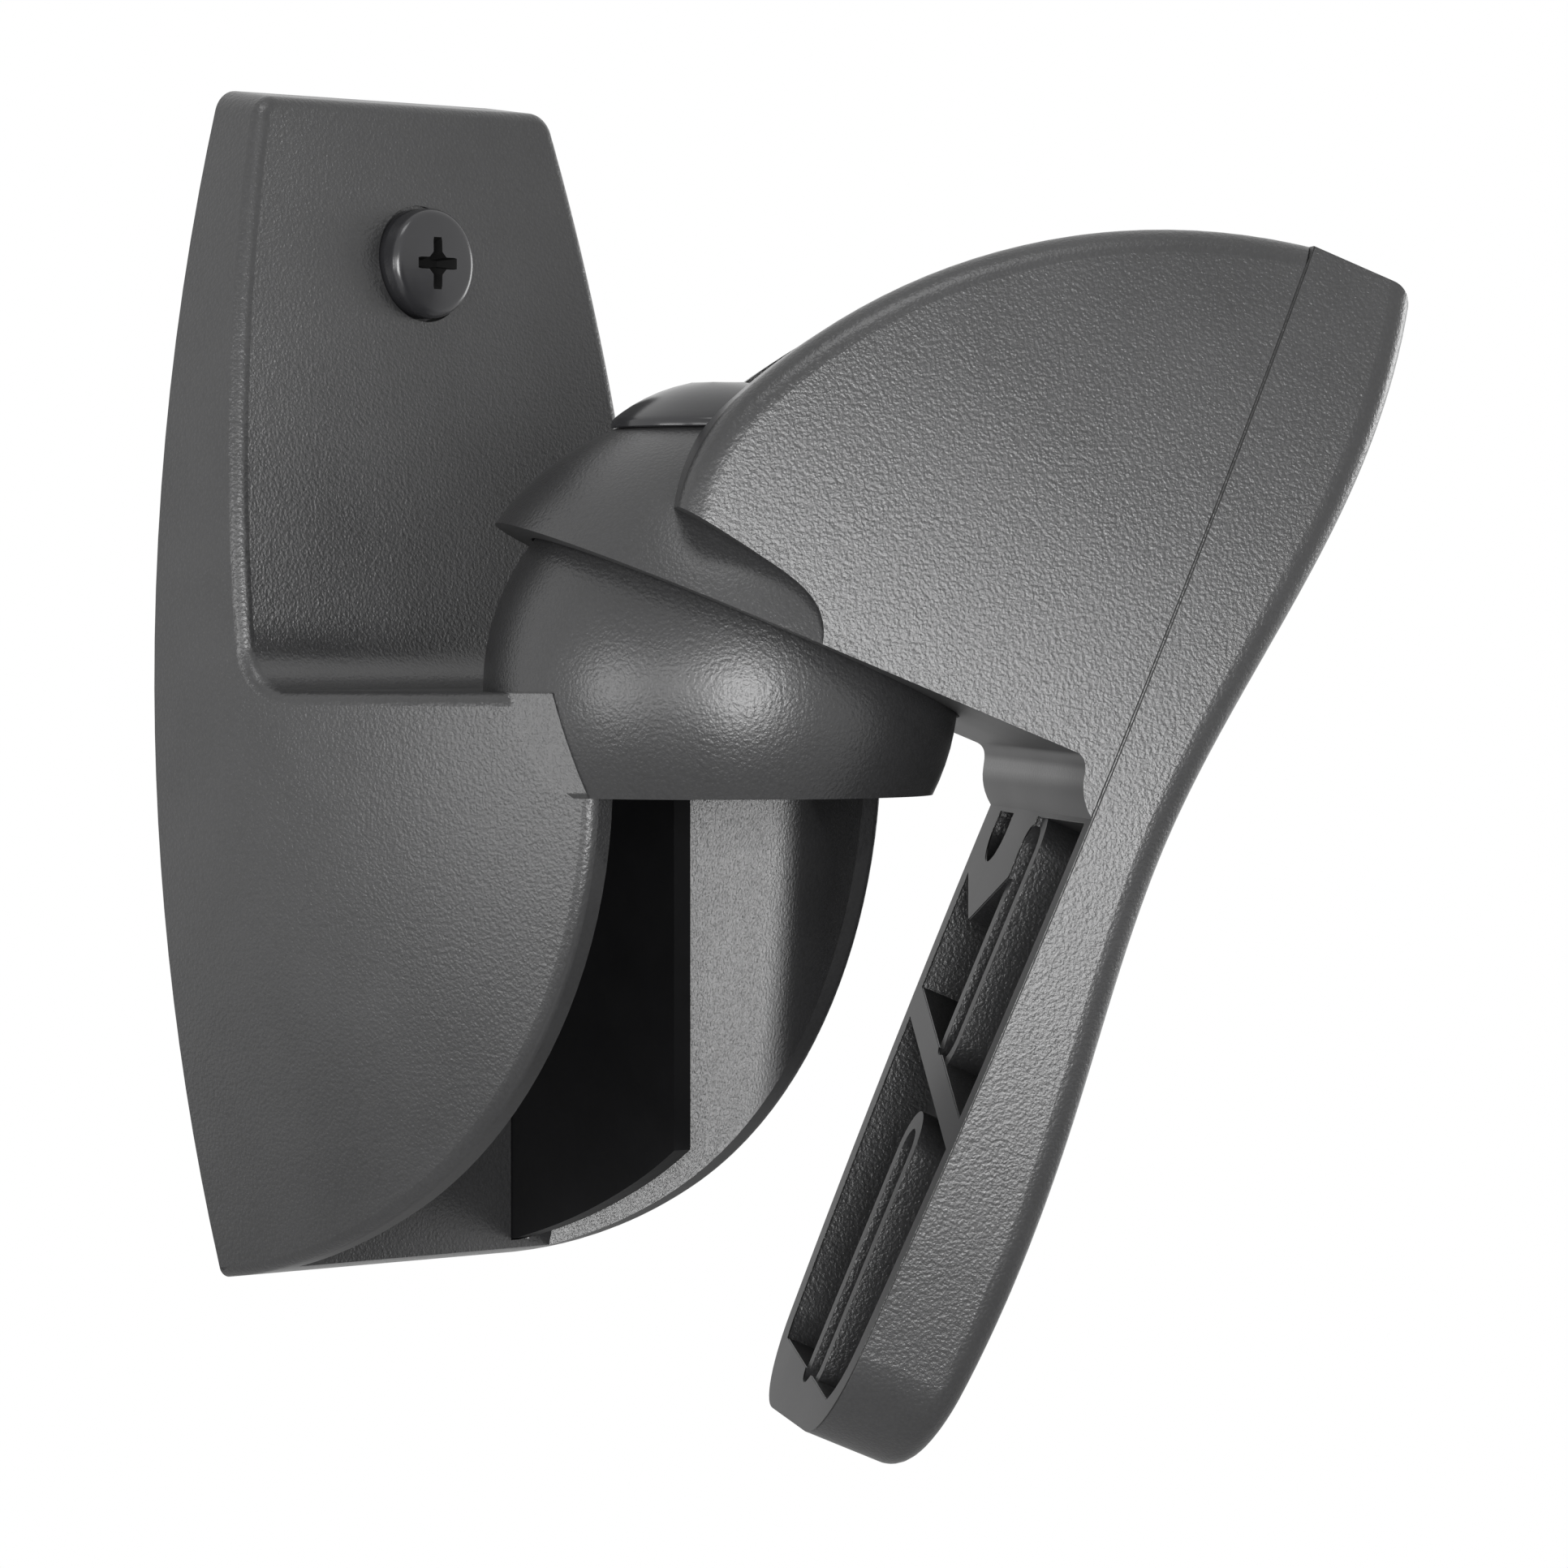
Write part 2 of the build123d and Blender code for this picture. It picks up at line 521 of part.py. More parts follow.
PARTS = {
    "wall_housing": make_wall_housing,
    "wall_bracket": make_wall_bracket,
    "housing_screw": make_housing_screw,
    "clamp_nut": make_clamp_nut,
    "slot_bush": make_slot_bush,
    "clamp_bolt": make_clamp_bolt,
    "arm_shell": make_arm_shell,
    "speaker_plate": make_speaker_plate,
    "plate_screws": make_plate_screws,
}

os.makedirs("parts", exist_ok=True)
for name, make in PARTS.items():
    export_step(make(), f"parts/{name}.step")
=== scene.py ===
# %% [markdown]
# # A swivelling wall bracket for a small loudspeaker
#
# The CAD model already holds the shapes of this bracket: a bowed wall housing with a ball, a
# fan-shaped arm whose cap is clamped on the ball, and a long slotted plate that the loudspeaker is
# screwed to. This lesson dresses that model. It gives the mouldings their leather-like grain, makes
# the small fasteners by hand, and lights everything as for a catalogue picture.

# %% Load the CAD frame
import json
import math

import bmesh
import bpy
from mathutils import Matrix, Vector

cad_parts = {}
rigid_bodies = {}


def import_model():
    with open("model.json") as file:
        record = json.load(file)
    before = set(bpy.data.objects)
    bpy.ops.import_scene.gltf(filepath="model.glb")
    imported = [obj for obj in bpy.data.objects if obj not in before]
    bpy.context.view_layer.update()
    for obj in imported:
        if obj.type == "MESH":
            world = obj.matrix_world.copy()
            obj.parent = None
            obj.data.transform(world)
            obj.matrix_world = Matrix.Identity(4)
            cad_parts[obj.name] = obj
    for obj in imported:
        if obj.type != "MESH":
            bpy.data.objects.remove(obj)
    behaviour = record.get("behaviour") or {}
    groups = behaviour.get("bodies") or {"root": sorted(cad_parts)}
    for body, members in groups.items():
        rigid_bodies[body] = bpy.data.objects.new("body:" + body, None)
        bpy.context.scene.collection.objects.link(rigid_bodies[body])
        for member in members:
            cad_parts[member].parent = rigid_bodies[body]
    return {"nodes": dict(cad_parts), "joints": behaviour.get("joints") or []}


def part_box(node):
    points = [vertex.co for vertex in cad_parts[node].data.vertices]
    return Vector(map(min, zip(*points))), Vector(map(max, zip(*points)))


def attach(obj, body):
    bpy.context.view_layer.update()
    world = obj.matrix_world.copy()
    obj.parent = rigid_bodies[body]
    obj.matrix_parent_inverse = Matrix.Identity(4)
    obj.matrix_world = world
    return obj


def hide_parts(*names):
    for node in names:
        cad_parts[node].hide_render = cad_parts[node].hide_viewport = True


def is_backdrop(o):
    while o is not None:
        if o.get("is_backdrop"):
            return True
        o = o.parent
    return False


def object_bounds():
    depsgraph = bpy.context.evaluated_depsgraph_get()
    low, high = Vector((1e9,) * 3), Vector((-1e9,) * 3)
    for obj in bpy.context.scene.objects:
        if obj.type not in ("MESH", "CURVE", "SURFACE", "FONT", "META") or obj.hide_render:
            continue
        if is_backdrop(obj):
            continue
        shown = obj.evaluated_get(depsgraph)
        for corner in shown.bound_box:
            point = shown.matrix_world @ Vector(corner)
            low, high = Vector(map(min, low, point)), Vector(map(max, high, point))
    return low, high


for leftover in list(bpy.data.objects):
    bpy.data.objects.remove(leftover)

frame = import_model()
cad_low, cad_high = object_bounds()
MM = 0.001
FRONT = Vector((0, -1, 0))
UP = Vector((0, 0, 1))
print("CAD nodes:", ", ".join(sorted(frame["nodes"])))

# %% [markdown]
# ## Where the arm stands
#
# The arm and its plate are turned with the photographed pose, so "behind the plate" isn't one of the
# world's axes. The tilt joint gives the ball's centre and the arm's own sideways axis. Tipping a
# level arrow about that axis gives the way back to the wall, and their cross product the way up.

# %% The arm's own axes
tilt_joint = next(joint for joint in frame["joints"] if joint["name"] == "tilt")
BALL_CENTRE = Vector(tilt_joint["pos_m"])
ARM_SIDE = Vector(tilt_joint["axis"]).normalized()
ARM_TIP_DOWN = math.radians(22.8)
ARM_BACK = Matrix.Rotation(ARM_TIP_DOWN, 3, ARM_SIDE) @ UP.cross(ARM_SIDE)
ARM_UP = ARM_SIDE.cross(ARM_BACK)


def on_arm(forward, up):
    """A point on the arm's middle plane, given in millimetres from the centre of the ball."""
    return BALL_CENTRE + (ARM_UP * up - ARM_BACK * forward) * MM


for title, axis in (("side", ARM_SIDE), ("back", ARM_BACK), ("up", ARM_UP)):
    print("arm's", title, "axis:", tuple(round(value, 3) for value in axis))

# %% [markdown]
# ## Shader sums as Python sums
#
# A material is a net of nodes. Wiring each Math node by hand hides what is being worked out, so a
# small class wraps a socket, and adding or multiplying two of them adds the Math node.


# %% A socket that can be added and multiplied
class Signal:
    """One output socket of a net of nodes."""

    def __init__(self, net, socket):
        self.net = net
        self.socket = socket

    def math(self, operation, first, second):
        return self.net.node("ShaderNodeMath", {"operation": operation}, {0: first, 1: second})

    def __add__(self, other):
        return self.math("ADD", self, other)

    def __sub__(self, other):
        return self.math("SUBTRACT", self, other)

    def __rsub__(self, other):
        return self.math("SUBTRACT", other, self)

    def __mul__(self, other):
        return self.math("MULTIPLY", self, other)

    __radd__ = __add__
    __rmul__ = __mul__

    def __abs__(self):
        return self.math("ABSOLUTE", self, 0)

    def ease(self, low, high):
        """0 below low, 1 above high, and a smooth step between."""
        settings = {"interpolation_type": "SMOOTHSTEP"}
        return self.net.node("ShaderNodeMapRange", settings, {0: self, 1: low, 2: high})


# %% [markdown]
# Every other node comes from one method, which takes the node's type, then its settings, then its
# sockets. Materials and the world both have such a net.


# %% A net of nodes
class Net:
    """The nodes of a material or of the world."""

    def __init__(self, tree):
        self.nodes = tree.nodes
        self.links = tree.links

    def plug(self, target, value):
        """Gives a socket a value or a link."""
        if isinstance(value, Signal):
            self.links.new(value.socket, target)
        else:
            target.default_value = value

    def node(self, kind, settings, sockets, output=0):
        """Adds a node: its settings first, then the values or links of its sockets."""
        made = self.nodes.new(kind)
        for key, value in settings.items():
            setattr(made, key, value)
        for key, value in sockets.items():
            self.plug(made.inputs[key], value)
        return Signal(self, made.outputs[output])

    def vector(self, operation, first, second, output="Vector"):
        """A Vector Math node on two vectors."""
        settings = {"operation": operation}
        return self.node("ShaderNodeVectorMath", settings, {0: first, 1: second}, output)


# %% [markdown]
# A finish is a material with such a net. Its methods give what most finishes need: where a point is
# on its piece, which way the surface faces, cloudy noise, a blend of two colours and a bump.


# %% A finish
class Finish(Net):
    """A material with its shader."""

    def __init__(self, name, **shader):
        self.material = bpy.data.materials.new(name)
        self.material.use_nodes = True
        super().__init__(self.material.node_tree)
        self.shader = self.nodes["Principled BSDF"]
        for socket, value in shader.items():
            self.set(socket.replace("_", " "), value)

    def set(self, socket, value):
        """Gives one of the shader's sockets a value or a link."""
        self.plug(self.shader.inputs[socket], value)

    def place(self):
        """Where a point is on its piece, in metres."""
        return self.node("ShaderNodeTexCoord", {}, {}, "Object")

    def facing(self, direction):
        """How far the surface at rest faces a direction: 1 straight on, 0 edge on."""
        normal = self.node("ShaderNodeTexCoord", {}, {}, "Normal")
        return self.vector("DOT_PRODUCT", normal, direction, "Value")

    def along(self, direction):
        """How far a point lies along a direction, in metres."""
        return self.vector("DOT_PRODUCT", self.place(), direction, "Value")

    def away_from(self, point):
        """How far a point is from another, in metres."""
        return self.vector("DISTANCE", self.place(), point, "Value")

    def noise(self, size, detail=2.0, stretch=(1, 1, 1)):
        """Cloudy noise whose blobs are about the given size across, in metres."""
        place = self.vector("MULTIPLY", self.place(), stretch)
        sockets = {"Vector": place, "Scale": 1 / size, "Detail": detail}
        return self.node("ShaderNodeTexNoise", {}, sockets)

    def blend(self, amount, first, second):
        """A colour between two colours, each a link or three numbers."""
        pair = [value if isinstance(value, Signal) else (*value, 1) for value in (first, second)]
        sockets = {0: amount, 6: pair[0], 7: pair[1]}
        return self.node("ShaderNodeMix", {"data_type": "RGBA"}, sockets, 2)

    def normal(self):
        """The direction in which the surface faces."""
        return self.node("ShaderNodeNewGeometry", {}, {}, "Normal")

    def lean(self, normal, direction, amount):
        """Turns a normal towards a direction by an amount between 0 and 1."""
        sockets = {0: amount, 4: normal, 5: direction}
        turned = self.node("ShaderNodeMix", {"data_type": "VECTOR"}, sockets, 1)
        return self.node("ShaderNodeVectorMath", {"operation": "NORMALIZE"}, {0: turned})

    def bump(self, height, depth, normal=None):
        """Lets a height between 0 and 1 raise the surface by up to the given depth in metres."""
        sockets = {"Distance": depth, "Height": height, "Normal": normal or self.normal()}
        self.set("Normal", self.node("ShaderNodeBump", {}, sockets))


# %% [markdown]
# ## The grained plastic
#
# The three mouldings are dark grey plastic from an etched mould: small pebbles with narrow valleys
# between them. Voronoi cells give the pebbles. A noise pulls the cells out of shape first, so that
# they don't look like a honeycomb, and a finer noise roughens their tops.

# %% Leather grain
PEBBLE = 0.36 * MM
PEBBLE_PULL = 0.25 * MM
GRAIN_DEPTH = 0.058 * MM
PULLS_PER_PEBBLE = 1.2


def leather_grain(finish):
    """Height of the etched grain, from about 0 to 1."""
    place = finish.place()
    drift = {"Vector": place, "Scale": PULLS_PER_PEBBLE / PEBBLE, "Detail": 2}
    pull = finish.node("ShaderNodeTexNoise", {}, drift, "Color")
    sockets = {0: pull, 1: (PEBBLE_PULL,) * 3, 2: place}
    pulled = finish.node("ShaderNodeVectorMath", {"operation": "MULTIPLY_ADD"}, sockets)
    cells = {"Vector": pulled, "Scale": 1 / PEBBLE}
    pebble = 1 - finish.node("ShaderNodeTexVoronoi", {"feature": "SMOOTH_F1"}, cells, "Distance")
    return pebble * 0.7 + finish.noise(PEBBLE / 2, 3) * 0.5


print("grain: pebbles of", round(PEBBLE / MM, 2), "mm, up to", round(GRAIN_DEPTH / MM, 3), "mm high")

# %% [markdown]
# A mould is only etched where the part can be pulled from it, so ribs and rims stay smooth and a
# little duller. Each moulding brings its own mask for that, and may bring a groove, which is dark
# and sunk, and slight forms, which turn the surface before the grain is laid on it.

# %% Plastic
PLASTIC_DARK = (0.016, 0.016, 0.0165)
PLASTIC_PALE = (0.036, 0.036, 0.037)
GROOVE_BLACK = (0.004, 0.004, 0.004)
GROOVE_GRAINS = 3
GRAIN_OFF = 0.92
CLOUD = 14 * MM


def grained_plastic(name, smooth, groove=None, forms=None):
    """Dark plastic with grain, except on its smooth faces."""
    finish = Finish(name, Specular_IOR_Level=0.6)
    mask = smooth(finish)
    grain = leather_grain(finish)
    cloud = finish.noise(CLOUD, 4)
    shade = (grain * 0.5 + cloud * 0.6 - 0.1).ease(0, 1)
    colour = finish.blend(shade, PLASTIC_DARK, PLASTIC_PALE)
    height = grain * (1 - mask * GRAIN_OFF)
    if groove:
        line = groove(finish)
        colour = finish.blend(line, colour, GROOVE_BLACK)
        height = height - line * GROOVE_GRAINS
    finish.set("Base Color", colour)
    finish.set("Roughness", 0.25 + cloud * 0.08 + mask * 0.22)
    finish.bump(height, GRAIN_DEPTH, forms(finish) if forms else None)
    return finish.material


# %% [markdown]
# The housing's rim is smooth: it faces the room and the floor, well away from the ball. On the
# speaker plate the whole back is smooth, apart from the walls of its pockets. The arm is smooth below.

# %% Smooth faces of each moulding
RIM_FACES = Vector((0, -0.75, -0.66)).normalized()
PAST_BALL = (26 * MM, 27 * MM)


def housing_smooth(finish):
    rim = finish.facing(RIM_FACES).ease(0.78, 0.9)
    return rim * finish.away_from(BALL_CENTRE).ease(*PAST_BALL)


def plate_smooth(finish):
    return finish.facing(ARM_BACK).ease(0.75, 0.92)


def arm_smooth(finish):
    return finish.facing(-ARM_UP).ease(0.1, 0.5)


# %% [markdown]
# Two mouldings meet at the seam of the arm and the speaker plate. Their edges are broken a little,
# which shows as a thin dark line. It is drawn where the surface crosses the seam's plane, but not on
# the plate's back, which lies in that plane.

# %% The seam
SEAM_REACH = 36.6 * MM
SEAM_WIDTH = 0.13 * MM


def seam(finish):
    past = finish.along(-ARM_BACK) - (BALL_CENTRE.dot(-ARM_BACK) + SEAM_REACH)
    line = 1 - abs(past).ease(SEAM_WIDTH * 0.5, SEAM_WIDTH * 1.5)
    return line * (1 - finish.facing(ARM_BACK).ease(0.3, 0.6))


# %% [markdown]
# Light shows three forms on the housing that are too slight to be worth CAD surfaces. Its front is
# dished a little from side to side, so that it darkens towards the arm.

# %% The dished front
DISH_PER_METRE = -5.0
ABOVE_LEDGE = (2 * MM, 8 * MM)


def dished(finish, normal):
    flat = finish.facing(FRONT).ease(0.9, 0.98) * finish.along(UP).ease(*ABOVE_LEDGE)
    tilt = finish.along((1, 0, 0)) * flat * DISH_PER_METRE
    sockets = {0: (1, 0, 0), "Scale": tilt}
    sideways = finish.node("ShaderNodeVectorMath", {"operation": "SCALE"}, sockets)
    return finish.vector("ADD", normal, sideways)


# %% [markdown]
# The low step where the side walls wrap the ball is faired into the walls, so it catches the light as
# they do. Inside, the far wall runs round into the back of the hollow. Both are made by leaning the
# normals of those faces towards the direction in which the neighbouring surface faces.

# %% The faired step and the hollow
STEP_STARTS = (25.05 * MM, 25.11 * MM)
STEP_ENDS = (25.3 * MM, 25.6 * MM)
STEP_FOOT = (-11.0 * MM, -10.6 * MM)
STEP_HEAD = (-0.6 * MM, -0.4 * MM)
WALL_FACES = (0.95, -0.31, 0)
INSIDE_FROM = (12 * MM, 13 * MM)
HOLLOW_TURN = (38 * MM, 54 * MM)
HOLLOW_FACES = (-0.66, -0.75, 0)


def housing_forms(finish):
    normal = dished(finish, finish.normal())
    away, height = finish.away_from(BALL_CENTRE), finish.along(UP)
    step = away.ease(*STEP_STARTS) * (1 - away.ease(*STEP_ENDS))
    step = step * height.ease(*STEP_FOOT) * (1 - height.ease(*STEP_HEAD))
    for side in (-1, 1):
        direction = (side * WALL_FACES[0], *WALL_FACES[1:])
        normal = finish.lean(normal, direction, step * finish.facing(direction).ease(0.45, 0.7))
    inside = finish.facing((-1, 0, 0)).ease(0.7, 0.9) * finish.along((1, 0, 0)).ease(*INSIDE_FROM)
    deep = 1 - finish.along(FRONT).ease(*HOLLOW_TURN)
    return finish.lean(normal, HOLLOW_FACES, inside * away.ease(*PAST_BALL) * deep)


# %% [markdown]
# Now each moulding gets its own plastic. The CAD solids are shown as they are, so only their
# materials are set.

# %% Dress the mouldings
MOULDINGS = {
    "wall_housing": (housing_smooth, None, housing_forms),
    "arm_shell": (arm_smooth, seam),
    "speaker_plate": (plate_smooth, seam),
}
for name, traits in MOULDINGS.items():
    plastic = grained_plastic(name + "_plastic", *traits)
    frame["nodes"][name].material_slots[0].material = plastic
    print(name, "has", len(plastic.node_tree.nodes), "shader nodes")

# %% [markdown]
# ## Lacquer, paint, zinc and nylon
#
# The visible bolt and screw are lacquered black and shine. Their sockets, and those of the plate's
# screws, get a duller black, much darker than the lacquer, which paints shade in the recesses. The
# steel bracket is painted black, which leaves a faint orange peel; its near-black also paints the
# shade deep in the housing's hollow. The nut and the plate's screws are zinc plated: bright, a little
# yellow, with fine drawing marks. The bush is natural nylon.


# %% The other finishes
def painted(name, colour, roughness, peel, shine=0.5):
    finish = Finish(name, Specular_IOR_Level=shine)
    cloud = finish.noise(6 * MM, 5)
    darker, paler = ([part * share for part in colour] for share in (0.7, 1.3))
    finish.set("Base Color", finish.blend(cloud, darker, paler))
    finish.set("Roughness", roughness + cloud * 0.12)
    finish.bump(finish.noise(1.2 * MM, 2), peel)
    return finish.material


def zinc(name):
    finish = Finish(name, Metallic=1.0)
    marks = finish.noise(0.4 * MM, 3, (1, 1, 0.08))
    cloud = finish.noise(5 * MM, 4)
    finish.set("Base Color", finish.blend(cloud, (0.50, 0.51, 0.53), (0.61, 0.60, 0.56)))
    finish.set("Roughness", 0.22 + marks * 0.2)
    finish.bump(marks, 0.01 * MM)
    return finish.material


def nylon(name):
    finish = Finish(name)
    cloud = finish.noise(4 * MM, 4)
    finish.set("Base Color", finish.blend(cloud, (0.70, 0.69, 0.64), (0.79, 0.78, 0.74)))
    finish.set("Roughness", 0.4 + cloud * 0.15)
    finish.bump(finish.noise(0.6 * MM, 3), 0.02 * MM)
    return finish.material


# %% Paint the steel, the bush and the fasteners
GLOSS_BLACK = painted("gloss_black", (0.024, 0.024, 0.026), 0.14, 0.006 * MM)
# The sockets' black is darker than the lacquer: painted shade in the recesses, also on the zinc
# screws.
PAINTED_SOCKET_SHADE = painted("socket_painted_shade", (0.006, 0.006, 0.006), 0.7, 0.01 * MM, 0.1)
# The bracket's near-black is partly its black paint and partly painted shade of the housing's deep
# hollow.
BLACK_STEEL_AND_SHADE = painted("black_steel", (0.007, 0.007, 0.0075), 0.42, 0.03 * MM, 0.12)
ZINC = zinc("plated_steel")
frame["nodes"]["wall_bracket"].material_slots[0].material = BLACK_STEEL_AND_SHADE
frame["nodes"]["slot_bush"].material_slots[0].material = nylon("nylon")
print("finishes:", ", ".join(material.name for material in bpy.data.materials))

# %% [markdown]
# ## Fasteners from rings
#
# A bolt is a pile of rings: the floor of its socket, the socket's edge, the dome, the underside of the
# head, and then the thread all the way down. One helper makes them all. It draws a circle, extrudes
# its edge, and moves the new points to the next ring, whose radius may depend on the angle. That is
# how a round head gets a hexagonal or a cross-shaped socket, and how the thread climbs its shank.
# The first three rings are a socket. Its faces take a piece's second material, which paints shade in
# the recess.

# %% A pile of rings
SIDES = 96
SOCKET_RINGS = 3


def value_at(ring_value, angle):
    return ring_value(angle) if callable(ring_value) else ring_value


def set_ring(points, ring):
    """Moves the points to a ring of (radius, height) in millimetres, keeping their angles."""
    radius, height = ring
    for point in points:
        angle = math.atan2(point.co.y, point.co.x)
        reach = value_at(radius, angle)
        x, y = reach * math.cos(angle), reach * math.sin(angle)
        point.co = Vector((x, y, value_at(height, angle)))


def pile(rings, shape):
    """Adds the skin through all the rings, closed at both ends, and returns its points."""
    points = bmesh.ops.create_circle(shape, segments=SIDES, radius=1)["verts"]
    edges = list(dict.fromkeys(edge for point in points for edge in point.link_edges))
    set_ring(points, rings[0])
    every, ends = list(points), list(edges)
    for ring in rings[1:]:
        grown = bmesh.ops.extrude_edge_only(shape, edges=edges)["geom"]
        points = [item for item in grown if isinstance(item, bmesh.types.BMVert)]
        edges = [item for item in grown if isinstance(item, bmesh.types.BMEdge)]
        set_ring(points, ring)
        every += points
    bmesh.ops.holes_fill(shape, edges=ends + edges, sides=SIDES)
    # Socket faces get the second material, which paints shade in the recess.
    socket = set(every[:SOCKET_RINGS * SIDES])
    for face in shape.faces:
        if socket.issuperset(face.verts):
            face.material_index = 1
    return every


# %% [markdown]
# A finished shape becomes a piece in the room. It stands for a CAD node, rides on that node's body,
# and must keep to the node's box, so the difference is printed.

# %% From a shape to a piece
SHARP = math.radians(35)
SAME_POINT = 1e-6


def stand(origin, axis):
    """Turns millimetres on a piece's own axis into metres in the room."""
    turn = axis.to_track_quat("Z", "X").to_matrix().to_4x4()
    return Matrix.Translation(origin) @ turn @ Matrix.Scale(MM, 4)


def compare_boxes(shape, name, node):
    low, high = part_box(node)
    for axis, letter in enumerate("xyz"):
        places = [point.co[axis] for point in shape.verts]
        past = (low[axis] - min(places), max(places) - high[axis])
        past = [round(length / MM, 2) for length in past]
        print(name, letter, "mm past its CAD node at the low and high end:", past)


def add_piece(shape, name, node, body, slot, *materials):
    """Turns a finished shape into a piece that stands for a CAD node and moves with its body."""
    bmesh.ops.remove_doubles(shape, verts=shape.verts, dist=SAME_POINT)
    bmesh.ops.recalc_face_normals(shape, faces=shape.faces)
    for face in shape.faces:
        face.smooth = True
    for edge in shape.edges:
        edge.smooth = edge.calc_face_angle(0) < SHARP
    compare_boxes(shape, name, node)
    mesh = bpy.data.meshes.new(name)
    shape.to_mesh(mesh)
    shape.free()
    for material in materials:
        mesh.materials.append(material)
    piece = bpy.data.objects.new(name, mesh)
    bpy.context.scene.collection.objects.link(piece)
    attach(piece, body)
    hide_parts(node)
    print(name, "has", len(mesh.polygons), "faces")
    return piece


# %% [markdown]
# The shapes of the sockets are written as a radius for each angle: a hexagon from its flats, and a
# cross as the largest of two long boxes and a small diamond between them. A dome is part of a ball.


# %% Hexagons, crosses and domes
def hexagon(across_flats, turn=0):
    """A hexagon with a flat at angle 0, or turned from there."""
    def radius(angle):
        off_flat = (angle + turn + math.pi / 6) % (math.pi / 3) - math.pi / 6
        return across_flats / 2 / math.cos(off_flat)
    return radius


def cross(span, width, flare):
    def box(along, across):
        return min(span / 2 / max(along, 1e-9), width / 2 / max(across, 1e-9))

    def radius(angle):
        along, across = abs(math.cos(angle)), abs(math.sin(angle))
        return max(box(along, across), box(across, along), flare / (along + across))
    return radius


def shrunk(shape, share):
    return lambda angle: shape(angle) * share


def dome(top, rim_radius, rim):
    """Height of a dome at a distance from its axis."""
    sagitta = top - rim
    ball = (rim_radius**2 + sagitta**2) / (2 * sagitta)
    return lambda distance: top - ball + math.sqrt(ball**2 - distance**2)


# %% [markdown]
# A thread is a ridge whose height along the shank runs round once per pitch.

# %% Threads
STEPS_PER_TURN = 6
THREAD_CORE = 0.82


def thread(radius, pitch, top, bottom):
    """Rings of a threaded shank from top down to bottom, its ridges no higher than the radius."""
    rings = []
    steps = round((top - bottom) / pitch * STEPS_PER_TURN)
    for step in range(1, steps):
        height = top + (bottom - top) * step / steps

        def ridge(angle, height=height):
            turn = (height / pitch - angle / math.tau) % 1
            return radius * (THREAD_CORE + (1 - THREAD_CORE) * (1 - abs(2 * turn - 1)))
        rings.append((ridge, height))
    return [(radius * THREAD_CORE, top), *rings, (radius * THREAD_CORE, bottom)]


# %% [markdown]
# ## The housing's screw
#
# A pan-head screw holds the housing on its steel bracket. Its head stands in a shallow round seat near
# the top, with an upright side and a rounded edge. Its cross recess narrows towards its floor.

# %% The screw's sizes
low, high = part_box("housing_screw")
HEAD_RADIUS = 6.0
HEAD_HEIGHT = 3.6
HEAD_SIDE = 2.4
HEAD_ROUNDING = 1.0
ROUNDING_STEPS = 6
SHANK_RADIUS = 2.5
SHANK_PITCH = 0.8
THREAD_START = -0.6
screw_seat = (low + high) / 2
screw_seat.y = low.y + HEAD_HEIGHT * MM
screw_length = (high.y - screw_seat.y) / MM
print("the housing's screw is", round(screw_length, 1), "mm long below its head")

# %% Housing screw
recess = cross(5.7, 1.3, 1.9)
face_radius = HEAD_RADIUS - HEAD_ROUNDING
crown = dome(HEAD_HEIGHT, face_radius, HEAD_SIDE + HEAD_ROUNDING)
rings = [
    (shrunk(recess, 0.55), 1.7),
    (shrunk(recess, 0.96), crown(2.4) - 0.2),
    (recess, lambda angle: crown(recess(angle))),
]
rings += [(distance, crown(distance)) for distance in (3.6, 4.2, 4.7)]
for step in range(ROUNDING_STEPS + 1):
    bend = math.radians(90 - 90 / ROUNDING_STEPS * step)
    out, rise = HEAD_ROUNDING * math.cos(bend), HEAD_ROUNDING * math.sin(bend)
    rings.append((face_radius + out, HEAD_SIDE + rise))
rings += [(HEAD_RADIUS, 0.2), (HEAD_RADIUS - 0.15, 0), (SHANK_RADIUS, 0)]
rings += thread(SHANK_RADIUS, SHANK_PITCH, THREAD_START, -screw_length)
shape = bmesh.new()
pile(rings, shape)
bmesh.ops.transform(shape, matrix=stand(screw_seat, FRONT), verts=shape.verts)
add_piece(shape, "pan_screw", "housing_screw", "wall_half", "gloss_black", GLOSS_BLACK, PAINTED_SOCKET_SHADE)

# %% [markdown]
# ## The clamp bolt and its nut
#
# The bolt runs down through the cap, the bush and the ball into a nut under the ball. Tightening it
# squeezes the cap on the ball and holds the loudspeaker's aim. The head is domed, and hollow below, so
# that it bears on the round cap.

# %% The bolt's sizes
low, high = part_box("clamp_bolt")
BOLT_HEAD_RADIUS = 11.5
BOLT_HEAD_CROWN = 2.8
BOLT_HEAD_EDGE = 0.9
BOLT_RADIUS = 4.0
BOLT_PITCH = 1.25
head_top = (high.z - BALL_CENTRE.z) / MM
bolt_end = (low.z - BALL_CENTRE.z) / MM
seat_radius = head_top - BOLT_HEAD_CROWN


def under_head(distance):
    return math.sqrt(seat_radius**2 - distance**2)


print("the bolt bears on a cap of", round(seat_radius, 2), "mm radius")

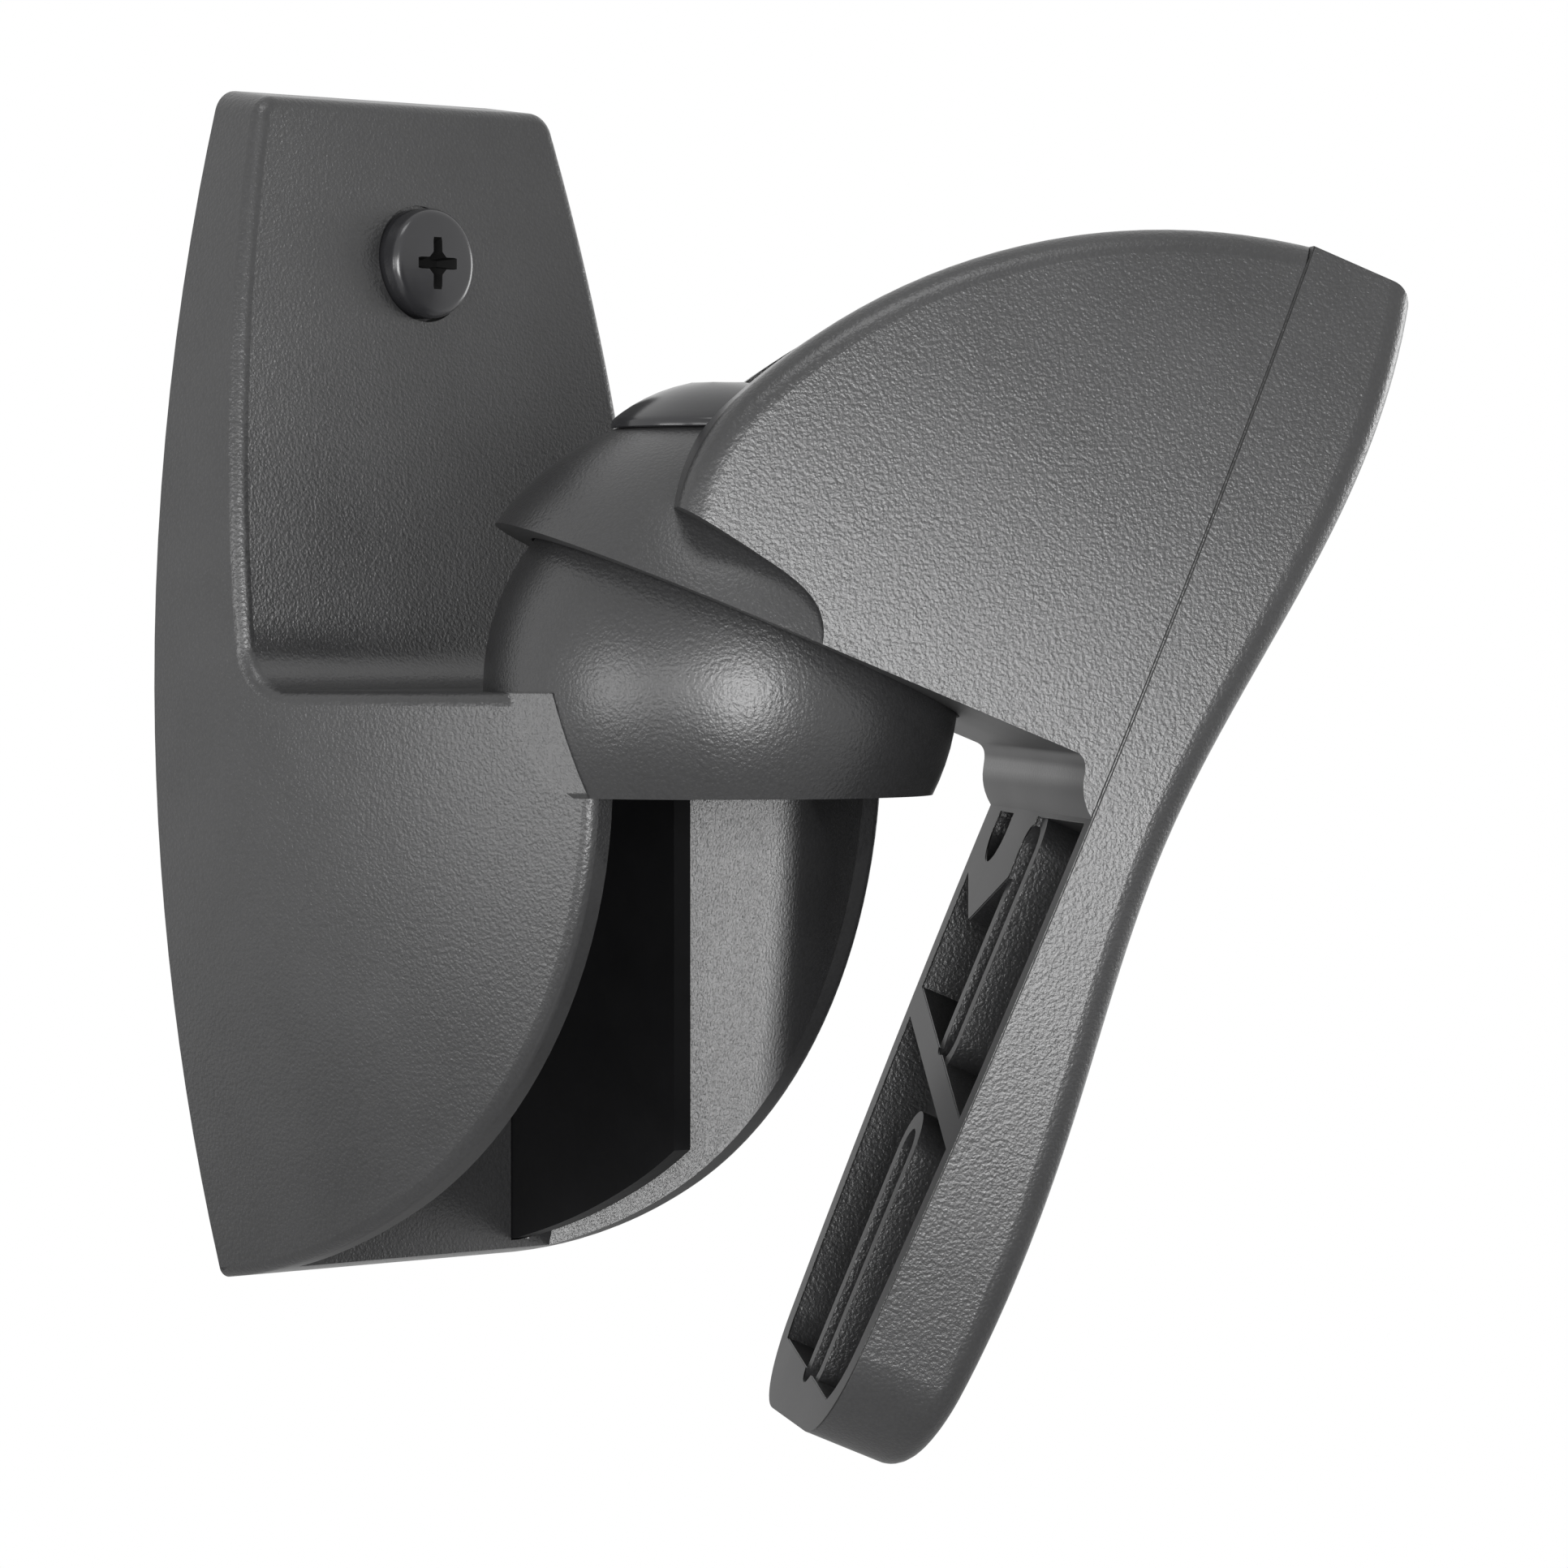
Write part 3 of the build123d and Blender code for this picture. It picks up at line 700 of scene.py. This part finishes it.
# %% Clamp bolt
head_rim = under_head(BOLT_HEAD_RADIUS) + BOLT_HEAD_EDGE
crown = dome(head_top, BOLT_HEAD_RADIUS, head_rim)
socket = hexagon(5.0)
rings = [
    (shrunk(socket, 0.97), head_top - 2.2),
    (socket, head_top - 0.45),
    (shrunk(socket, 1.1), crown(2.9) - 0.02),
]
rings += [(distance, crown(distance)) for distance in (3.6, 5, 6.5, 8, 9.3, 10.4, 11.1)]
rings += [
    (11.4, head_rim + 0.03),
    (BOLT_HEAD_RADIUS, head_rim - 0.15),
    (BOLT_HEAD_RADIUS, head_rim - 0.7),
]
rings += [(distance, under_head(distance)) for distance in (11.35, 9, 6.5, BOLT_RADIUS)]
rings += [(BOLT_RADIUS, 2.0)]
rings += thread(BOLT_RADIUS, BOLT_PITCH, 1.4, bolt_end)
shape = bmesh.new()
pile(rings, shape)
bmesh.ops.transform(shape, matrix=stand(BALL_CENTRE, UP), verts=shape.verts)
add_piece(shape, "domed_bolt", "clamp_bolt", "clamp", "gloss_black", GLOSS_BLACK, PAINTED_SOCKET_SHADE)

# %% [markdown]
# The nut's corners are turned off at both ends, which leaves the usual curved edges on its flats. Each
# ring takes the smaller of the hexagon and a circle. The bore is the same pile, with its two ends
# bridged through the middle. Two corners point sideways, as in the nut's pocket under the ball.

# %% Clamp nut
low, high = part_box("clamp_nut")
nut_low, nut_high = ((edge.z - BALL_CENTRE.z) / MM for edge in (low, high))
NUT_FLATS = 13.0
NUT_BORE = 4.05
BORE_CHAMFER = 0.4
flats = hexagon(NUT_FLATS, math.pi / 6)


def turned_off(radius):
    return lambda angle: min(flats(angle), radius)


outside = [(turned_off(6.45), 0), (turned_off(6.9), 0.25), (turned_off(7.6), 0.7)]
rings = [(NUT_BORE, nut_low + BORE_CHAMFER), (NUT_BORE + BORE_CHAMFER, nut_low)]
rings += [(radius, nut_low + rise) for radius, rise in outside]
rings += [(radius, nut_high - rise) for radius, rise in reversed(outside)]
rings += [(NUT_BORE + BORE_CHAMFER, nut_high), (NUT_BORE, nut_high - BORE_CHAMFER)]
shape = bmesh.new()
pile(rings, shape)
caps = [face for face in shape.faces if len(face.verts) == SIDES]
bmesh.ops.bridge_loops(shape, edges=[edge for face in caps for edge in face.edges])
bmesh.ops.delete(shape, geom=caps, context="FACES_ONLY")
for face in shape.faces:
    face.material_index = 0
bmesh.ops.transform(shape, matrix=stand(BALL_CENTRE, UP), verts=shape.verts)
add_piece(shape, "hex_nut", "clamp_nut", "wall_half", "plated_steel", ZINC)

# %% [markdown]
# ## The plate's screws
#
# Two cap screws hold the speaker plate on the arm, sunk in seats on the plate's front. They are one
# CAD node, so they are one piece here too.

# %% Plate screws
PLATE_SCREW_HEIGHTS = (18.0, 47.0)
PLATE_SCREW_FACE = 40.6
PLATE_SCREW_LENGTH = 14.0
CAP_RADIUS = 4.5
CAP_HEIGHT = 3.0
socket = hexagon(3.0)
rings = [
    (shrunk(socket, 0.97), 1.4),
    (socket, 2.8),
    (shrunk(socket, 1.12), CAP_HEIGHT),
    (3.9, CAP_HEIGHT),
    (4.3, 2.88),
    (CAP_RADIUS, 2.6),
    (CAP_RADIUS, 0.2),
    (4.4, 0),
    (SHANK_RADIUS, 0),
]
rings += thread(SHANK_RADIUS, SHANK_PITCH, THREAD_START, -PLATE_SCREW_LENGTH)
shape = bmesh.new()
for height in PLATE_SCREW_HEIGHTS:
    points = pile(rings, shape)
    place = stand(on_arm(PLATE_SCREW_FACE, height), -ARM_BACK)
    bmesh.ops.transform(shape, matrix=place, verts=points)
# The zinc screws' sockets get the black of painted shade.
add_piece(shape, "cap_screws", "plate_screws", "speaker_half", "plated_steel", ZINC, PAINTED_SOCKET_SHADE)

# %% [markdown]
# ## Camera
#
# The photograph is almost level with the ball and turned an eighth of a circle to the left. The angles
# and the distance come from matching the ball, the housing's edges and the plate's corners.

# %% Places round the ball
def around_ball(azimuth, elevation, distance):
    """A point seen from the ball under two angles, 0 azimuth being straight into the room."""
    level = math.cos(elevation)
    way = (math.sin(azimuth) * level, -math.cos(azimuth) * level, math.sin(elevation))
    return BALL_CENTRE + distance * Vector(way)


def aimed(name, data, place, target):
    """A camera or lamp at a place, looking at its target."""
    item = bpy.data.objects.new(name, data)
    bpy.context.scene.collection.objects.link(item)
    item.location = place
    item.rotation_mode = "QUATERNION"
    item.rotation_quaternion = (target - place).to_track_quat("-Z", "Y")
    return item


# %% Camera
PHOTO_AZIMUTH = math.radians(-45.32)
PHOTO_ELEVATION = math.radians(0.59)
PHOTO_DISTANCE = 0.756
FRAME_CENTRE = Vector((4.7, -4.7, -10.2)) * MM
camera_data = bpy.data.cameras.new("camera")
camera_data.lens = 165
camera_data.sensor_width = 36
camera_data.clip_start = 0.01
place = around_ball(PHOTO_AZIMUTH, PHOTO_ELEVATION, PHOTO_DISTANCE)
bpy.context.scene.camera = aimed("camera", camera_data, place, BALL_CENTRE + FRAME_CENTRE)
print("camera at", tuple(round(value, 3) for value in place))

# %% [markdown]
# ## Floor
#
# The bracket hangs on a wall, so the pale floor lies a little below it and catches its shadow. It is a
# disc, and ends before it would come into the photograph's view.

# %% Floor
FLOOR_DROP = 60 * MM
FLOOR_RADIUS = 0.34
floor_finish = Finish("floor")
speckle = floor_finish.noise(30 * MM, 4)
floor_colour = floor_finish.blend(speckle, (0.86, 0.86, 0.86), (0.92, 0.92, 0.92))
floor_finish.set("Base Color", floor_colour)
floor_finish.set("Roughness", 0.7 + speckle * 0.2)
shape = bmesh.new()
middle = Matrix.Translation((BALL_CENTRE.x, BALL_CENTRE.y, cad_low.z - FLOOR_DROP))
bmesh.ops.create_circle(shape, cap_ends=True, segments=96, radius=FLOOR_RADIUS, matrix=middle)
floor_mesh = bpy.data.meshes.new("floor")
shape.to_mesh(floor_mesh)
shape.free()
floor_mesh.materials.append(floor_finish.material)
floor = bpy.data.objects.new("floor", floor_mesh)
bpy.context.scene.collection.objects.link(floor)
floor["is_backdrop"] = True
print("the floor lies at", round(middle.translation.z, 3), "m")

# %% [markdown]
# ## Background
#
# The white background is the world itself. It is white where it is looked at, mirrored or seen
# through something, and dimmer as a source of light, so that the lamps can shape the object.

# %% World
AMBIENT = 0.3
WHITE = 1.0
world = bpy.data.worlds.new("studio")
bpy.context.scene.world = world
world.use_nodes = True
studio = Net(world.node_tree)
background = studio.nodes["Background"]
seen = 0
for kind in ("Is Camera Ray", "Is Glossy Ray", "Is Transmission Ray"):
    ray = studio.node("ShaderNodeLightPath", {}, {}, kind)
    seen = ray.math("MAXIMUM", ray, seen)
studio.plug(background.inputs["Color"], (1, 1, 1, 1))
studio.plug(background.inputs["Strength"], seen * (WHITE - AMBIENT) + AMBIENT)
print("the world has", len(studio.nodes), "nodes")

# %% [markdown]
# ## Lamps
#
# The arm's side and the front of the housing's wall are bright, the housing's back and the plate's
# front are dim, and everything is brightest where it stands upright. That asks for a wide softbox at
# the camera's height, weaker ones on both sides, a faint one above for the upper edges, and one that
# fills the gap between the two highlights on the ball. The strongest lights a white card to about 0.8
# and the world adds 0.3, so that colours render about as they are written.

# %% Softboxes
LAMPS = {
    "key": (-34, -2, 0.55, 0.44, 11.5),
    "fill": (-64, 2, 0.5, 0.4, 2.6),
    "left": (-98, 0, 0.6, 0.4, 4.4),
    "right": (80, 0, 0.5, 0.4, 3.2),
    "top": (-45, 62, 0.5, 0.4, 2.6),
}
LAMP_DISTANCE = 1.2
for name, (azimuth, elevation, width, height, watts) in LAMPS.items():
    lamp = bpy.data.lights.new(name, "AREA")
    lamp.shape = "RECTANGLE"
    lamp.size = width
    lamp.size_y = height
    lamp.energy = watts
    place = around_ball(math.radians(azimuth), math.radians(elevation), LAMP_DISTANCE)
    aimed(name, lamp, place, BALL_CENTRE)
    print(name, "lamp lights a white card to", round(watts / (math.pi * LAMP_DISTANCE)**2, 2))
bpy.context.scene.view_settings.view_transform = "Standard"

# %% [markdown]
# ## Sizes
#
# The dressed model must not outgrow the CAD model, so both bounds are written down side by side.

# %% Compare the sizes
final_low, final_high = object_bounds()
for letter, cad, now in zip("xyz", cad_high - cad_low, final_high - final_low):
    print(letter, "size in the CAD model and now, in mm:", round(cad / MM, 2), round(now / MM, 2))
